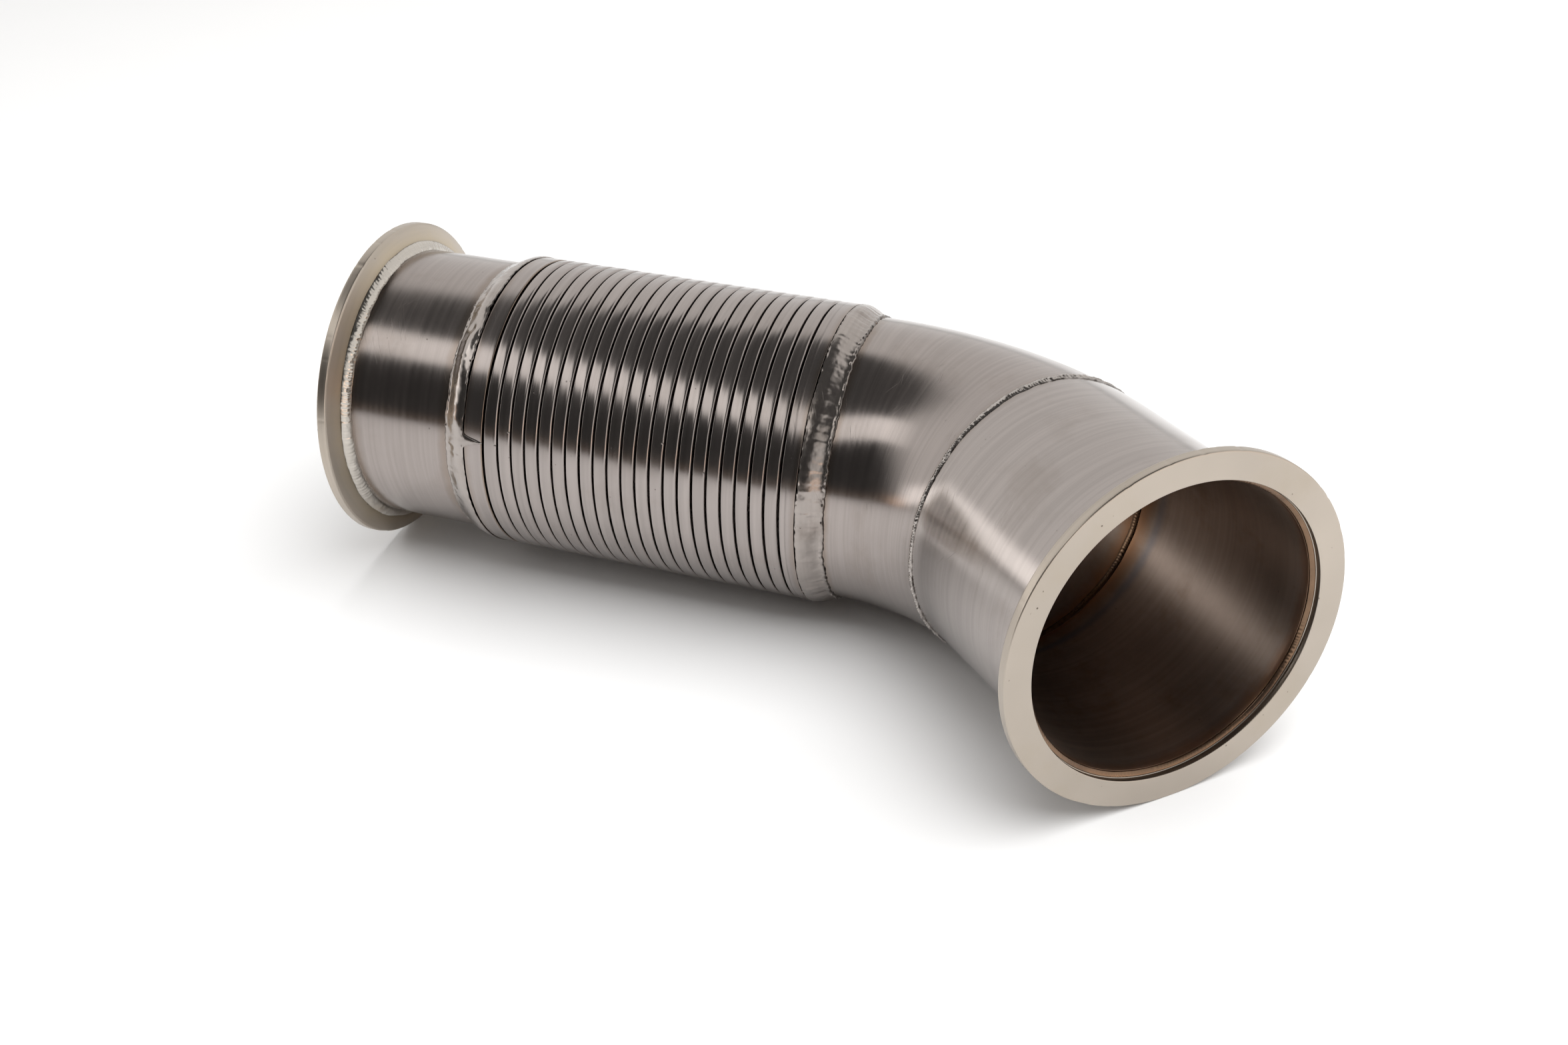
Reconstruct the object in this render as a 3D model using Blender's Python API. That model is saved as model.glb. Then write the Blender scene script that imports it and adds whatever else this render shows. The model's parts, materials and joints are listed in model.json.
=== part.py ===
"""Flexible exhaust joint: a strip-wound stainless hose between a V-band flange and a V-band flanged elbow.

The pipe is laid out in pipe axes first: +X runs along the hose from the inlet sealing face, and the
elbow bends towards -Y. RESTING then lays the whole pipe down on its two flange rims and its elbow.
"""

import math

import bmesh
import bpy
from mathutils import Matrix, Vector

# Driving dimensions, in metres and radians
TUBE_RADIUS = 0.0762
TUBE_WALL = 0.0020
GAP = 0.0003

FLANGE_RADIUS = 0.0905
FLANGE_RIM = 0.0052
FLANGE_CHAMFER = 0.0007
FLANGE_HUB_RADIUS = 0.0796
FLANGE_LENGTH = 0.0092
TUBE_RECESS = 0.0055
INNER_WELD_LEG = 0.0022
FLANGE_WELD_LEG = 0.0030

HOSE_RADIUS = 0.08115
HOSE_BORE_RADIUS = 0.0767
STRIP_THICKNESS = 0.0007
TURN_COUNT = 21
TURN_PITCH = 0.0078
TURN_WIDTH = 0.0067
DOWN_HOOK_DEPTH = 0.0022
UP_HOOK_HEIGHT = 0.0022
UP_HOOK_START = 0.0106

INLET_WELD_START = 0.0685
INLET_COLLAR_START = 0.0828
INLET_COLLAR_END = 0.0934
INLET_TUBE_END = 0.0880
FIRST_TURN_START = 0.0948
OUTLET_COLLAR_WIDTH = 0.0088
OUTLET_WELD_WIDTH = 0.0142
ELBOW_TUBE_LAP = 0.0036

ELBOW_RADIUS = 0.1524
ELBOW_ANGLE = math.radians(48.0)
SEAM_ANGLE = math.radians(40.5)
OUTLET_STRAIGHT = 0.1023
SEAM_WELD_WIDTH = 0.0050
SEAM_WELD_HEIGHT = 0.0010

SEGMENTS = 24
BEND_STEP = math.radians(5.1)

# Stations along the pipe that follow from the driving dimensions
OUTLET_COLLAR_START = FIRST_TURN_START + TURN_COUNT * TURN_PITCH
OUTLET_WELD_START = OUTLET_COLLAR_START + OUTLET_COLLAR_WIDTH
BEND_START = OUTLET_WELD_START + OUTLET_WELD_WIDTH
PIPE_LENGTH = BEND_START + ELBOW_RADIUS * ELBOW_ANGLE + OUTLET_STRAIGHT

METALS = {
    "flange_steel": ((0.62, 0.57, 0.48), 0.36),
    "tube_steel": ((0.50, 0.47, 0.45), 0.30),
    "hose_steel": ((0.52, 0.49, 0.47), 0.26),
    "weld_steel": ((0.60, 0.58, 0.55), 0.22),
}


def clear_scene():
    for obj in list(bpy.data.objects):
        bpy.data.objects.remove(obj, do_unlink=True)


def metal(node, kind):
    """A material of the object's own, coloured as this kind of steel."""
    colour, roughness = METALS[kind]
    material = bpy.data.materials.new(node + "_metal")
    material.use_nodes = True
    shader = material.node_tree.nodes["Principled BSDF"]
    shader.inputs["Base Color"].default_value = (*colour, 1.0)
    shader.inputs["Roughness"].default_value = roughness
    shader.inputs["Metallic"].default_value = 1.0
    return material


def station(distance):
    """Pipe-axes matrix at this distance along the centreline: its X axis is the pipe's direction."""
    if distance <= BEND_START:
        return Matrix.Translation((distance, 0, 0))
    bend = min((distance - BEND_START) / ELBOW_RADIUS, ELBOW_ANGLE)
    centre = Vector((BEND_START, -ELBOW_RADIUS, 0))
    arm = Vector((math.sin(bend), math.cos(bend), 0)) * ELBOW_RADIUS
    beyond = max(distance - BEND_START - ELBOW_RADIUS * ELBOW_ANGLE, 0)
    turned = Matrix.Translation(centre + arm) @ Matrix.Rotation(-bend, 4, "Z")
    return turned @ Matrix.Translation((beyond, 0, 0))


def turned_mesh(name, profile):
    """A closed (x, radius) outline spun once round the X axis."""
    mesh = bpy.data.meshes.new(name)
    bm = bmesh.new()
    corners = [bm.verts.new((x, radius, 0)) for x, radius in profile]
    edges = [bm.edges.new((a, b)) for a, b in zip(corners, corners[1:] + corners[:1])]
    bmesh.ops.spin(
        bm,
        geom=corners + edges,
        cent=(0, 0, 0),
        axis=(1, 0, 0),
        angle=math.tau,
        steps=SEGMENTS,
        use_merge=True,
    )
    bmesh.ops.remove_doubles(bm, verts=bm.verts, dist=1e-6)
    bmesh.ops.recalc_face_normals(bm, faces=bm.faces)
    bm.to_mesh(mesh)
    bm.free()
    return mesh


def tube_mesh(name, start, end, origin):
    """A round tube along the centreline from start to end, in the axes of the origin station."""
    bend_end = BEND_START + ELBOW_RADIUS * ELBOW_ANGLE
    stops = {start, end}
    stops.update(stop for stop in (BEND_START, bend_end) if start < stop < end)
    first, last = max(start, BEND_START), min(end, bend_end)
    if last > first:
        steps = math.ceil((last - first) / ELBOW_RADIUS / BEND_STEP)
        stops.update(first + (last - first) * step / steps for step in range(1, steps))
    bm = bmesh.new()
    into_origin = station(origin).inverted()
    rings = []
    for stop in sorted(stops):
        section = []
        for radius in (TUBE_RADIUS, TUBE_RADIUS - TUBE_WALL):
            for step in range(SEGMENTS):
                turn = Matrix.Rotation(math.tau * step / SEGMENTS, 4, "X")
                point = into_origin @ station(stop) @ turn @ Vector((0, radius, 0))
                section.append(bm.verts.new(point))
        rings.append((section[:SEGMENTS], section[SEGMENTS:]))
    walls = [(a[side], b[side]) for a, b in zip(rings, rings[1:]) for side in (0, 1)]
    walls += [rings[0], rings[-1]]
    for near, far in walls:
        for step in range(SEGMENTS):
            after = (step + 1) % SEGMENTS
            bm.faces.new((near[step], near[after], far[after], far[step]))
    bmesh.ops.recalc_face_normals(bm, faces=bm.faces)
    mesh = bpy.data.meshes.new(name)
    bm.to_mesh(mesh)
    bm.free()
    return mesh


def place(name, mesh, distance, kind, flipped=False):
    """An object whose own origin and X axis are the centreline's at this distance."""
    mesh.shade_smooth()
    mesh.set_sharp_from_angle(angle=math.radians(25))
    mesh.materials.append(metal(name, kind))
    obj = bpy.data.objects.new(name, mesh)
    bpy.context.scene.collection.objects.link(obj)
    obj.parent = RESTING
    half_turn = Matrix.Rotation(math.pi if flipped else 0, 4, "Z")
    obj.matrix_local = station(distance) @ half_turn
    return obj


def flange_profile():
    """V-band flange: flat sealing face at x = 0, a plain rim, and the clamp's cone behind it."""
    bore = TUBE_RADIUS + GAP
    return [
        (0, bore),
        (0, FLANGE_RADIUS - FLANGE_CHAMFER),
        (FLANGE_CHAMFER, FLANGE_RADIUS),
        (FLANGE_RIM, FLANGE_RADIUS),
        (FLANGE_LENGTH, FLANGE_HUB_RADIUS),
        (FLANGE_LENGTH, bore),
    ]


def outer_fillet_profile():
    """Fillet weld between the flange's back and the tube."""
    start = FLANGE_LENGTH + GAP
    root = TUBE_RADIUS + GAP
    return [
        (start, root),
        (start, root + FLANGE_WELD_LEG),
        (start + 0.35 * FLANGE_WELD_LEG, root + 0.95 * FLANGE_WELD_LEG),
        (start + FLANGE_WELD_LEG, root + 0.25 * FLANGE_WELD_LEG),
        (start + FLANGE_WELD_LEG, root),
    ]


def inner_fillet_profile():
    """Weld on the tube's recessed end, inside the flange's bore."""
    wall = TUBE_RADIUS
    end = TUBE_RECESS - GAP
    return [
        (end, wall - TUBE_WALL),
        (end - INNER_WELD_LEG, wall - 0.5 * TUBE_WALL),
        (end - INNER_WELD_LEG, wall),
        (end, wall),
    ]


def lap_weld_profile(width):
    """Wide weld from the tube, at x = 0, up to the hose collar's outside, at x = width."""
    root = TUBE_RADIUS + GAP
    rise = HOSE_RADIUS - root
    crown = [(0.22, 0.62), (0.52, 0.90), (1.0, 1.0)]
    return [(0, root), *((width * along, root + rise * up) for along, up in crown), (width, root)]


def shoulder_profile(left, right):
    """The right end of a strip turn: web, inner leg and upturned hook, from the band's right edge."""
    hook = left + UP_HOOK_START
    return [
        (right, HOSE_RADIUS),
        (right, HOSE_BORE_RADIUS + STRIP_THICKNESS),
        (hook, HOSE_BORE_RADIUS + STRIP_THICKNESS),
        (hook, HOSE_BORE_RADIUS + STRIP_THICKNESS + UP_HOOK_HEIGHT),
        (hook + STRIP_THICKNESS, HOSE_BORE_RADIUS + STRIP_THICKNESS + UP_HOOK_HEIGHT),
        (hook + STRIP_THICKNESS, HOSE_BORE_RADIUS),
    ]


def down_hook_profile():
    """The left end of a strip turn, at x = 0: the hook that runs behind its neighbour's."""
    under = HOSE_RADIUS - STRIP_THICKNESS
    return [
        (STRIP_THICKNESS, under),
        (STRIP_THICKNESS, under - DOWN_HOOK_DEPTH),
        (0, under - DOWN_HOOK_DEPTH),
        (0, HOSE_RADIUS),
    ]


def turn_profile():
    web = TURN_WIDTH - STRIP_THICKNESS
    inside = [(web, HOSE_BORE_RADIUS), (web, HOSE_RADIUS - STRIP_THICKNESS)]
    return shoulder_profile(0, TURN_WIDTH) + inside + down_hook_profile()


def inlet_collar_profile():
    """Closed first turn of the hose, welded to the inlet tube, with a hook for the first free turn."""
    width = INLET_COLLAR_END - INLET_COLLAR_START - GAP
    hook_room = INLET_COLLAR_END - FIRST_TURN_START + TURN_PITCH
    left = width - hook_room
    return [(0, HOSE_BORE_RADIUS), (0, HOSE_RADIUS)] + shoulder_profile(left, width)


def outlet_collar_profile():
    """Closed last turn of the hose, hooked over the last free turn and welded to the elbow."""
    width = OUTLET_COLLAR_WIDTH - GAP
    block = width - ELBOW_TUBE_LAP
    outside = [
        (width, HOSE_RADIUS),
        (width, HOSE_BORE_RADIUS),
        (block, HOSE_BORE_RADIUS),
        (block, HOSE_RADIUS - STRIP_THICKNESS),
    ]
    return outside + down_hook_profile()


def seam_weld_profile():
    root = TUBE_RADIUS + GAP
    half = SEAM_WELD_WIDTH / 2
    return [
        (-half, root),
        (-0.6 * half, root + 0.8 * SEAM_WELD_HEIGHT),
        (0, root + SEAM_WELD_HEIGHT),
        (0.6 * half, root + 0.8 * SEAM_WELD_HEIGHT),
        (half, root),
    ]


def build_flange_end(prefix, distance, flipped):
    """A V-band flange with its outer and inner weld, at one end of the pipe."""
    shapes = {
        "vband_flange": (flange_profile(), "flange_steel"),
        "flange_weld": (outer_fillet_profile(), "weld_steel"),
        "flange_inner_weld": (inner_fillet_profile(), "weld_steel"),
    }
    for piece, (profile, kind) in shapes.items():
        name = prefix + "_" + piece
        place(name, turned_mesh(name, profile), distance, kind, flipped)


def build_inlet():
    build_flange_end("inlet", 0, flipped=False)
    tube = tube_mesh("inlet_stub_tube", TUBE_RECESS, INLET_TUBE_END, 0)
    place("inlet_stub_tube", tube, 0, "tube_steel")
    weld = turned_mesh("inlet_collar_weld", lap_weld_profile(INLET_COLLAR_START - INLET_WELD_START))
    place("inlet_collar_weld", weld, INLET_WELD_START, "weld_steel")
    collar = turned_mesh("inlet_hose_collar", inlet_collar_profile())
    place("inlet_hose_collar", collar, INLET_COLLAR_START + GAP, "hose_steel")


def build_hose():
    for turn in range(TURN_COUNT):
        name = f"hose_turn_{turn + 1:02d}"
        mesh = turned_mesh(name, turn_profile())
        place(name, mesh, FIRST_TURN_START + turn * TURN_PITCH, "hose_steel")


def build_outlet():
    collar = turned_mesh("outlet_hose_collar", outlet_collar_profile())
    place("outlet_hose_collar", collar, OUTLET_COLLAR_START, "hose_steel")
    weld = turned_mesh("outlet_collar_weld", lap_weld_profile(OUTLET_WELD_WIDTH))
    place("outlet_collar_weld", weld, BEND_START, "weld_steel", flipped=True)
    seam = BEND_START + ELBOW_RADIUS * SEAM_ANGLE
    elbow_start = OUTLET_WELD_START - ELBOW_TUBE_LAP + GAP
    elbow = tube_mesh("elbow_bend", elbow_start, seam - GAP / 2, BEND_START)
    place("elbow_bend", elbow, BEND_START, "tube_steel")
    place("elbow_seam_weld", turned_mesh("elbow_seam_weld", seam_weld_profile()), seam, "weld_steel")
    tube = tube_mesh("outlet_tube", seam + GAP / 2, PIPE_LENGTH - TUBE_RECESS, PIPE_LENGTH)
    place("outlet_tube", tube, PIPE_LENGTH, "tube_steel")
    build_flange_end("outlet", PIPE_LENGTH, flipped=True)


def lowest_points(up):
    """Heights along up of the inlet rim's, the outlet rim's and the pipe's lowest points."""

    def ring_low(distance, radius):
        matrix = station(distance)
        lean = matrix.col[0].xyz.dot(up)
        return matrix.translation.dot(up) - radius * math.sqrt(1 - lean * lean)

    inlet = min(ring_low(distance, FLANGE_RADIUS) for distance in (0, FLANGE_RIM))
    outlet = min(ring_low(PIPE_LENGTH - back, FLANGE_RADIUS) for back in (0, FLANGE_RIM))
    samples = 200
    span = PIPE_LENGTH - BEND_START
    elbow = min(ring_low(BEND_START + span * s / samples, TUBE_RADIUS) for s in range(samples))
    hose = min(ring_low(end, HOSE_RADIUS) for end in (INLET_COLLAR_START, OUTLET_WELD_START))
    return inlet, outlet, min(elbow, hose)


def resting_up():
    """The up direction, in pipe axes, at which both rims and the pipe touch one level surface."""

    def up_of(lean_x, lean_y):
        return Vector((lean_x, lean_y, 1)).normalized()

    def misfit(lean_x, lean_y):
        inlet, outlet, pipe = lowest_points(up_of(lean_x, lean_y))
        return Vector((inlet - outlet, inlet - pipe))

    lean_x, lean_y, nudge = 0.0, 0.0, 1e-5
    for _ in range(30):
        here = misfit(lean_x, lean_y)
        slope_x = (misfit(lean_x + nudge, lean_y) - here) / nudge
        slope_y = (misfit(lean_x, lean_y + nudge) - here) / nudge
        jacobian = Matrix(((slope_x.x, slope_y.x), (slope_x.y, slope_y.y)))
        step = jacobian.inverted() @ here
        lean_x -= step.x
        lean_y -= step.y
    return up_of(lean_x, lean_y)


def resting_frame():
    """Empty that turns pipe axes into the resting pose: +Z up, the hose along +X seen from above."""
    up = resting_up()
    along = (Vector((1, 0, 0)) - up * up.x).normalized()
    across = up.cross(along)
    empty = bpy.data.objects.new("resting_frame", None)
    bpy.context.scene.collection.objects.link(empty)
    empty.matrix_world = Matrix((along, across, up)).to_4x4()
    return empty


def stand_on_origin():
    """Moves the resting frame so that the origin is the middle of the whole pipe's underside."""
    bpy.context.view_layer.update()
    points = [
        obj.matrix_world @ vertex.co
        for obj in bpy.context.scene.objects
        if obj.type == "MESH"
        for vertex in obj.data.vertices
    ]
    low = [min(point[axis] for point in points) for axis in range(3)]
    high = [max(point[axis] for point in points) for axis in range(3)]
    middle = Vector(((low[0] + high[0]) / 2, (low[1] + high[1]) / 2, low[2]))
    RESTING.matrix_world = Matrix.Translation(-middle) @ RESTING.matrix_world
    bpy.context.view_layer.update()


clear_scene()
RESTING = resting_frame()
build_inlet()
build_hose()
build_outlet()
stand_on_origin()
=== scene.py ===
import json
import math

import bmesh
import bpy
import numpy as np
from mathutils import Matrix, Vector


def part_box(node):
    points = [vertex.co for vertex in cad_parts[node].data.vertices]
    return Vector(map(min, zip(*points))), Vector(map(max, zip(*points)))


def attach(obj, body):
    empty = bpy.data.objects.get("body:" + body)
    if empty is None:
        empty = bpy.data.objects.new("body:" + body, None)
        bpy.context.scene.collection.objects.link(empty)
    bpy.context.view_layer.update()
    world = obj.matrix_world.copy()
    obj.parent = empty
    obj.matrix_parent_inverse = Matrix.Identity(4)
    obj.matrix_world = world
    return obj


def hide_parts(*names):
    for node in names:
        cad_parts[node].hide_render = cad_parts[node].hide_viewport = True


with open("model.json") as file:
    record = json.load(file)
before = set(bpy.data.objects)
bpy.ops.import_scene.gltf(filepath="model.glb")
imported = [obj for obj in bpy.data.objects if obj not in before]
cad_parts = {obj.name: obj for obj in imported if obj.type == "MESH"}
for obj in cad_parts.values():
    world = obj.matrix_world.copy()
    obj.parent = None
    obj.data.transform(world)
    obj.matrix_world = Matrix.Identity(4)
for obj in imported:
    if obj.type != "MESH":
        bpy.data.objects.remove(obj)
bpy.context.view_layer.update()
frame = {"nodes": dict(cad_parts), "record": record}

# Driving dimensions, in metres
MOUNT_RADIUS = 0.084
TUBE_RADIUS = 0.0762
TUBE_WALL = 0.0020
TUBE_RECESS = 0.0055
GAP = 0.0003

FLANGE_RADIUS = 0.0905
FLANGE_BORE = TUBE_RADIUS + GAP
FLANGE_RIM = 0.0052
FLANGE_LENGTH = 0.0092
FLANGE_HUB_RADIUS = 0.0796

HOSE_RADIUS = 0.08115
HOSE_BORE_RADIUS = 0.0767
STRIP = 0.0007
TURN_WIDTH = 0.0067
DOWN_HOOK_DEPTH = 0.0022
UP_HOOK_HEIGHT = 0.0022
UP_HOOK_START = 0.0106
ROLL_RADIUS = 0.00125
BAND_CROWN = 0.00007
COLLAR_GAP = 0.0014

# Angles round the pipe run from its top, through the side that the elbow bends towards
HELIX_MIDDLE = math.radians(62)
SEGMENTS = 320
WELD_SEGMENTS = 1000

SEED = 20


# ---------------------------------------------------------------- pipe axes, from the frame

MOUNTS = {mount["name"]: mount for mount in frame["record"]["mounts"]}
INLET = MOUNTS["inlet_flange_face"]
OUTLET = MOUNTS["outlet_flange_face"]
AXIS_X = -Vector(INLET["axis"]).normalized()
OUTLET_AXIS = Vector(OUTLET["axis"]).normalized()
AXIS_Z = OUTLET_AXIS.cross(AXIS_X).normalized()
AXIS_Y = AXIS_Z.cross(AXIS_X)
ORIGIN = Vector(INLET["pos_m"]) - MOUNT_RADIUS * AXIS_Z
TO_WORLD = Matrix((AXIS_X, AXIS_Y, AXIS_Z)).transposed().to_4x4()
TO_WORLD.translation = ORIGIN
TO_PIPE = TO_WORLD.inverted()


def reach(node):
    """The node's first and last station along the hose's straight axis."""
    stations = [(TO_PIPE @ vertex.co).x for vertex in frame["nodes"][node].data.vertices]
    return min(stations), max(stations)


BEND_START = reach("outlet_collar_weld")[1]
ELBOW_ANGLE = math.acos(OUTLET_AXIS.dot(AXIS_X))
OUTLET_CENTRE = TO_PIPE @ (Vector(OUTLET["pos_m"]) - MOUNT_RADIUS * AXIS_Z)


def elbow_sizes():
    """The bend's radius and the straight run after it, which together lead to the outlet's centre."""
    sine, cosine = math.sin(ELBOW_ANGLE), math.cos(ELBOW_ANGLE)
    legs = Matrix(((sine, cosine), (1 - cosine, sine)))
    return legs.inverted() @ Vector((OUTLET_CENTRE.x - BEND_START, -OUTLET_CENTRE.y))


ELBOW_RADIUS, OUTLET_STRAIGHT = elbow_sizes()
BEND_END = BEND_START + ELBOW_RADIUS * ELBOW_ANGLE
PIPE_LENGTH = BEND_END + OUTLET_STRAIGHT


def seam_station():
    """The elbow weld's station along the bent centreline."""
    low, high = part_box("elbow_seam_weld")
    middle = TO_PIPE @ ((Vector(low) + Vector(high)) / 2)
    turned = math.atan2(middle.x - BEND_START, middle.y + ELBOW_RADIUS)
    return BEND_START + ELBOW_RADIUS * turned


SEAM = seam_station()
FIRST_TURN = reach("hose_turn_01")[0]
TURNS = sorted(node for node in frame["nodes"] if node.startswith("hose_turn_"))
PITCH = reach(TURNS[1])[0] - FIRST_TURN
OUTLET_COLLAR = reach("outlet_hose_collar")


# ---------------------------------------------------------------- swept meshes


def centreline(station):
    """Points and sideways directions along the bent centreline, in pipe axes, for arrays of stations."""
    bend = np.clip((station - BEND_START) / ELBOW_RADIUS, 0, ELBOW_ANGLE)
    before = np.minimum(station, BEND_START)
    beyond = np.maximum(station - BEND_END, 0)
    flat = np.zeros_like(station)
    along = before + ELBOW_RADIUS * np.sin(bend) + beyond * np.cos(bend)
    across = -ELBOW_RADIUS * (1 - np.cos(bend)) - beyond * np.sin(bend)
    point = np.stack((along, across, flat), -1)
    side = np.stack((-np.sin(bend), -np.cos(bend), flat), -1)
    return point, side


def place(station, radius, azimuth):
    """World points at these stations, radii and azimuths."""
    point, side = centreline(station)
    up = np.array((0.0, 0.0, 1.0))
    arm = np.cos(azimuth)[..., None] * up + np.sin(azimuth)[..., None] * side
    local = point + radius[..., None] * arm
    turn = np.array(TO_WORLD.to_3x3())
    return local @ turn.T + np.array(ORIGIN)


def swept(name, outline, shape=None, segments=SEGMENTS, cut=None, inside=0.0, slots=()):
    """A closed outline of (station, radius) points swept round the pipe.

    shape turns station, radius and azimuth arrays into the real station, radius and a value from 0 to 1 for
    dark marks: real stains at weld toes, heat and joint lines, and painted shade on the hose's groove walls.
    cut is (azimuth, gap): there the ring is open, with flat ends. Faces whose radius is under
    inside take the second material slot."""
    points = np.array(outline, float)
    after = np.roll(points, -1, 0)
    if (points[:, 0] * after[:, 1] - points[:, 1] * after[:, 0]).sum() > 0:
        points = points[::-1]
    count = len(points)
    start, gap = cut or (0.0, 0.0)
    turns = np.linspace(start, start + math.tau - gap, segments + 1)
    columns = segments + 1 if cut else segments
    azimuth = np.broadcast_to(turns[:columns], (count, columns))
    station = np.repeat(points[:, :1], columns, 1)
    radius = np.repeat(points[:, 1:], columns, 1)
    stain_and_shade = np.zeros_like(station)
    if shape:
        station, radius, stain_and_shade = shape(station, radius, azimuth)
    world = place(station, radius, azimuth)

    row, column = np.meshgrid(np.arange(count), np.arange(segments), indexing="ij")
    next_row, next_column = (row + 1) % count, (column + 1) % columns
    faces = np.stack(
        (
            row * columns + column,
            row * columns + next_column,
            next_row * columns + next_column,
            next_row * columns + column,
        ),
        -1,
    ).reshape(-1, 4)
    polygons = faces.tolist()
    if cut:
        polygons.append([line * columns for line in range(count)])
        polygons.append([line * columns + segments for line in reversed(range(count))])
    mesh = bpy.data.meshes.new(name)
    mesh.from_pydata(world.reshape(-1, 3).tolist(), [], polygons)

    arc = turns * TUBE_RADIUS
    grain = np.zeros((len(mesh.loops), 2), np.float32)
    corner_rows = np.stack((row, row, next_row, next_row), -1).reshape(-1)
    corner_arcs = np.stack((column, column + 1, column + 1, column), -1).reshape(-1)
    corner_columns = np.stack((column, next_column, next_column, column), -1).reshape(-1)
    grain[: len(corner_rows), 0] = station[corner_rows, corner_columns]
    grain[: len(corner_rows), 1] = arc[corner_arcs]
    mesh.uv_layers.new(name="grain").data.foreach_set("uv", grain.ravel())

    straight = np.stack((station, radius * np.cos(azimuth), radius * np.sin(azimuth)), -1)
    pipe = mesh.attributes.new("pipe", "FLOAT_VECTOR", "POINT")
    pipe.data.foreach_set("vector", straight.astype(np.float32).ravel())
    marks = mesh.attributes.new("stain_and_shade", "FLOAT", "POINT")
    marks.data.foreach_set("value", stain_and_shade.astype(np.float32).ravel())

    for material in slots:
        mesh.materials.append(material)
    if inside:
        middle = (radius + np.roll(radius, -1, 0)) / 2
        choice = np.zeros(len(mesh.polygons), np.int32)
        choice[: len(faces)] = (middle[:, :1] < inside).repeat(segments, 1).ravel()
        mesh.polygons.foreach_set("material_index", choice)
    mesh.shade_smooth()
    mesh.set_sharp_from_angle(angle=math.radians(50))
    mesh.validate()
    return mesh


def rounded(corners, steps=5):
    """An outline through (station, radius, fillet) corners, with an arc at each one."""
    points = []
    for number, (x, y, fillet) in enumerate(corners):
        here = Vector((x, y))
        before = Vector(corners[number - 1][:2])
        after = Vector(corners[(number + 1) % len(corners)][:2])
        back, ahead = (before - here).normalized(), (after - here).normalized()
        half = back.angle(ahead) / 2
        if fillet == 0 or abs(half - math.pi / 2) < 1e-3:
            points.append((x, y))
            continue
        centre = here + (back + ahead).normalized() * fillet / math.sin(half)
        reach_in = fillet / math.tan(half)
        first, last = here + back * reach_in - centre, here + ahead * reach_in - centre
        for step in range(steps + 1):
            points.append(tuple(centre + first.slerp(last, step / steps) * fillet))
    return points


def finer(outline, longest):
    """The closed outline with no straight run longer than this."""
    points = []
    for here, after in zip(outline, outline[1:] + outline[:1]):
        length = math.dist(here, after)
        parts = max(1, math.ceil(length / longest))
        for part in range(parts):
            share = part / parts
            points.append((here[0] + (after[0] - here[0]) * share, here[1] + (after[1] - here[1]) * share))
    return points


def smooth(value, low, high):
    """0 below low, 1 above high, and a soft step between them."""
    share = np.clip((value - low) / (high - low), 0, 1)
    return share * share * (3 - 2 * share)


def hump(value, middle, width):
    return np.exp(-(((value - middle) / width) ** 2))


def rough(azimuth, station, cell, seed):
    """Smooth noise from -1 to 1 in cells of this length, which joins up round the pipe."""
    around = max(3, round(math.tau * TUBE_RADIUS / cell))
    rows = 97
    lattice = np.random.default_rng(SEED + seed).uniform(-1, 1, (around, rows))
    across = azimuth / math.tau * around
    along = station / cell
    column, row = np.floor(across).astype(int), np.floor(along).astype(int)
    u, v = across - column, along - row
    u, v = u * u * (3 - 2 * u), v * v * (3 - 2 * v)
    near = lattice[column % around, row % rows] * (1 - v) + lattice[column % around, (row + 1) % rows] * v
    far_column = (column + 1) % around
    far = lattice[far_column, row % rows] * (1 - v) + lattice[far_column, (row + 1) % rows] * v
    return near * (1 - u) + far * u


def from_middle(azimuth):
    """Azimuth from the middle of the helix, from -pi to pi."""
    return (azimuth - HELIX_MIDDLE + math.pi) % math.tau - math.pi


def add(name, mesh, body):
    """The finished piece for the CAD node of the same name."""
    piece = bpy.data.objects.new(name + "_detail", mesh)
    bpy.context.scene.collection.objects.link(piece)
    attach(piece, body)
    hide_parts(name)
    return piece


# ---------------------------------------------------------------- materials


class Graph:
    """A steel material's node tree, built from a few short steps."""

    def __init__(self, name):
        self.material = bpy.data.materials.new(name)
        self.material.use_nodes = True
        self.tree = self.material.node_tree
        self.shader = self.tree.nodes["Principled BSDF"]

    def node(self, kind, inputs=(), **settings):
        made = self.tree.nodes.new(kind)
        for key, value in settings.items():
            setattr(made, key, value)
        for socket, value in dict(inputs).items():
            if isinstance(value, bpy.types.NodeSocket):
                self.tree.links.new(value, made.inputs[socket])
            else:
                made.inputs[socket].default_value = value
        return made

    def maths(self, operation, *values):
        return self.node("ShaderNodeMath", enumerate(values), operation=operation).outputs[0]

    def attribute(self, name, output):
        return self.node("ShaderNodeAttribute", attribute_name=name).outputs[output]

    def stretched(self, vector, factors):
        inputs = {0: vector, 1: factors}
        return self.node("ShaderNodeVectorMath", inputs, operation="MULTIPLY").outputs[0]

    def noise(self, vector, scale, detail=2.0, roughness=0.5):
        inputs = {"Vector": vector, "Scale": scale, "Detail": detail, "Roughness": roughness}
        return self.node("ShaderNodeTexNoise", inputs).outputs["Fac"]

    def soft_step(self, value, low, high, start=0.0, end=1.0):
        inputs = {"Value": value, "From Min": low, "From Max": high, "To Min": start, "To Max": end}
        step = self.node("ShaderNodeMapRange", inputs, interpolation_type="SMOOTHSTEP")
        return step.outputs["Result"]

    def mix(self, share, first, second, blend="MIX"):
        inputs = {0: share, 6: first, 7: second}
        made = self.node("ShaderNodeMix", inputs, data_type="RGBA", blend_type=blend)
        return made.outputs[2]


def rgba(colour):
    return (*colour, 1.0)


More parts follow.
